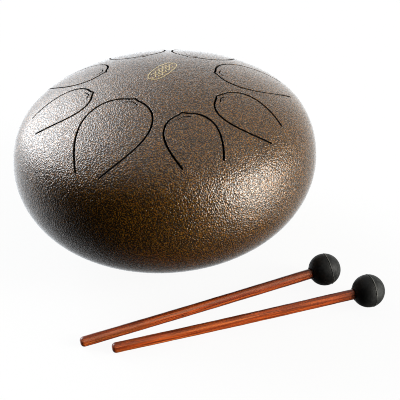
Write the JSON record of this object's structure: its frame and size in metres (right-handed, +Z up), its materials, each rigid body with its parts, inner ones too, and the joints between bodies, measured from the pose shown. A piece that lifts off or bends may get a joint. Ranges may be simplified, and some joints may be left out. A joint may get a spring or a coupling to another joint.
{
  "type": "steel tongue drum",
  "caption": "Round hollow steel drum, a flattened double dome with petal-shaped cut tongues, on rubber feet, with a pair of wooden mallets with rubber ball heads.",
  "frame": {"origin": "middle of the set's footprint on the ground (centre of the bounding box's bottom face, drum and both mallets at rest); the drum's own axis stands at x = -0.02133, y = +0.01531", "axes": "+Z up, along the drum's axis; +X to the player's right; the player sits on the -Y side, where the mallets lie"},
  "size_m": [0.2966, 0.2846, 0.1544],
  "materials": {
    "bronze_paint": "glossy bronze hammertone enamel with copper and gold flecks in a near-black base, fine orange-peel skin",
    "weld_metal": "weld bead ground flush and painted over with the shells",
    "foot_rubber": "matte black moulded rubber",
    "zinc_steel": "bright zinc plate",
    "red_hardwood": "red-brown rosewood-type hardwood, fine long grain, satin varnish",
    "ball_rubber": "matte charcoal rubber with a fine parting line and dusty handling marks"
  },
  "bodies": {
    "drum": {"top_shell": "bronze_paint", "bottom_shell": "bronze_paint", "equator_weld": "weld_metal", "foot_front_right": "foot_rubber", "foot_screw_front_right": "zinc_steel", "foot_washer_front_right": "zinc_steel", "foot_nut_front_right": "zinc_steel", "foot_back_right": "foot_rubber", "foot_screw_back_right": "zinc_steel", "foot_washer_back_right": "zinc_steel", "foot_nut_back_right": "zinc_steel", "foot_back_left": "foot_rubber", "foot_screw_back_left": "zinc_steel", "foot_washer_back_left": "zinc_steel", "foot_nut_back_left": "zinc_steel", "foot_front_left": "foot_rubber", "foot_screw_front_left": "zinc_steel", "foot_washer_front_left": "zinc_steel", "foot_nut_front_left": "zinc_steel"},
    "mallet_a": {"mallet_a_stick": "red_hardwood", "mallet_a_head": "ball_rubber"},
    "mallet_b": {"mallet_b_stick": "red_hardwood", "mallet_b_head": "ball_rubber"}
  },
  "joints": [
    {"name": "mallet_a_pickup", "type": "slide", "parent": "drum", "child": "mallet_a", "axis": [0, -0.5, 0.866], "range_m": [0, 0.25]},
    {"name": "mallet_b_pickup", "type": "slide", "parent": "drum", "child": "mallet_b", "axis": [0, -0.5, 0.866], "range_m": [0, 0.25]}
  ]
}
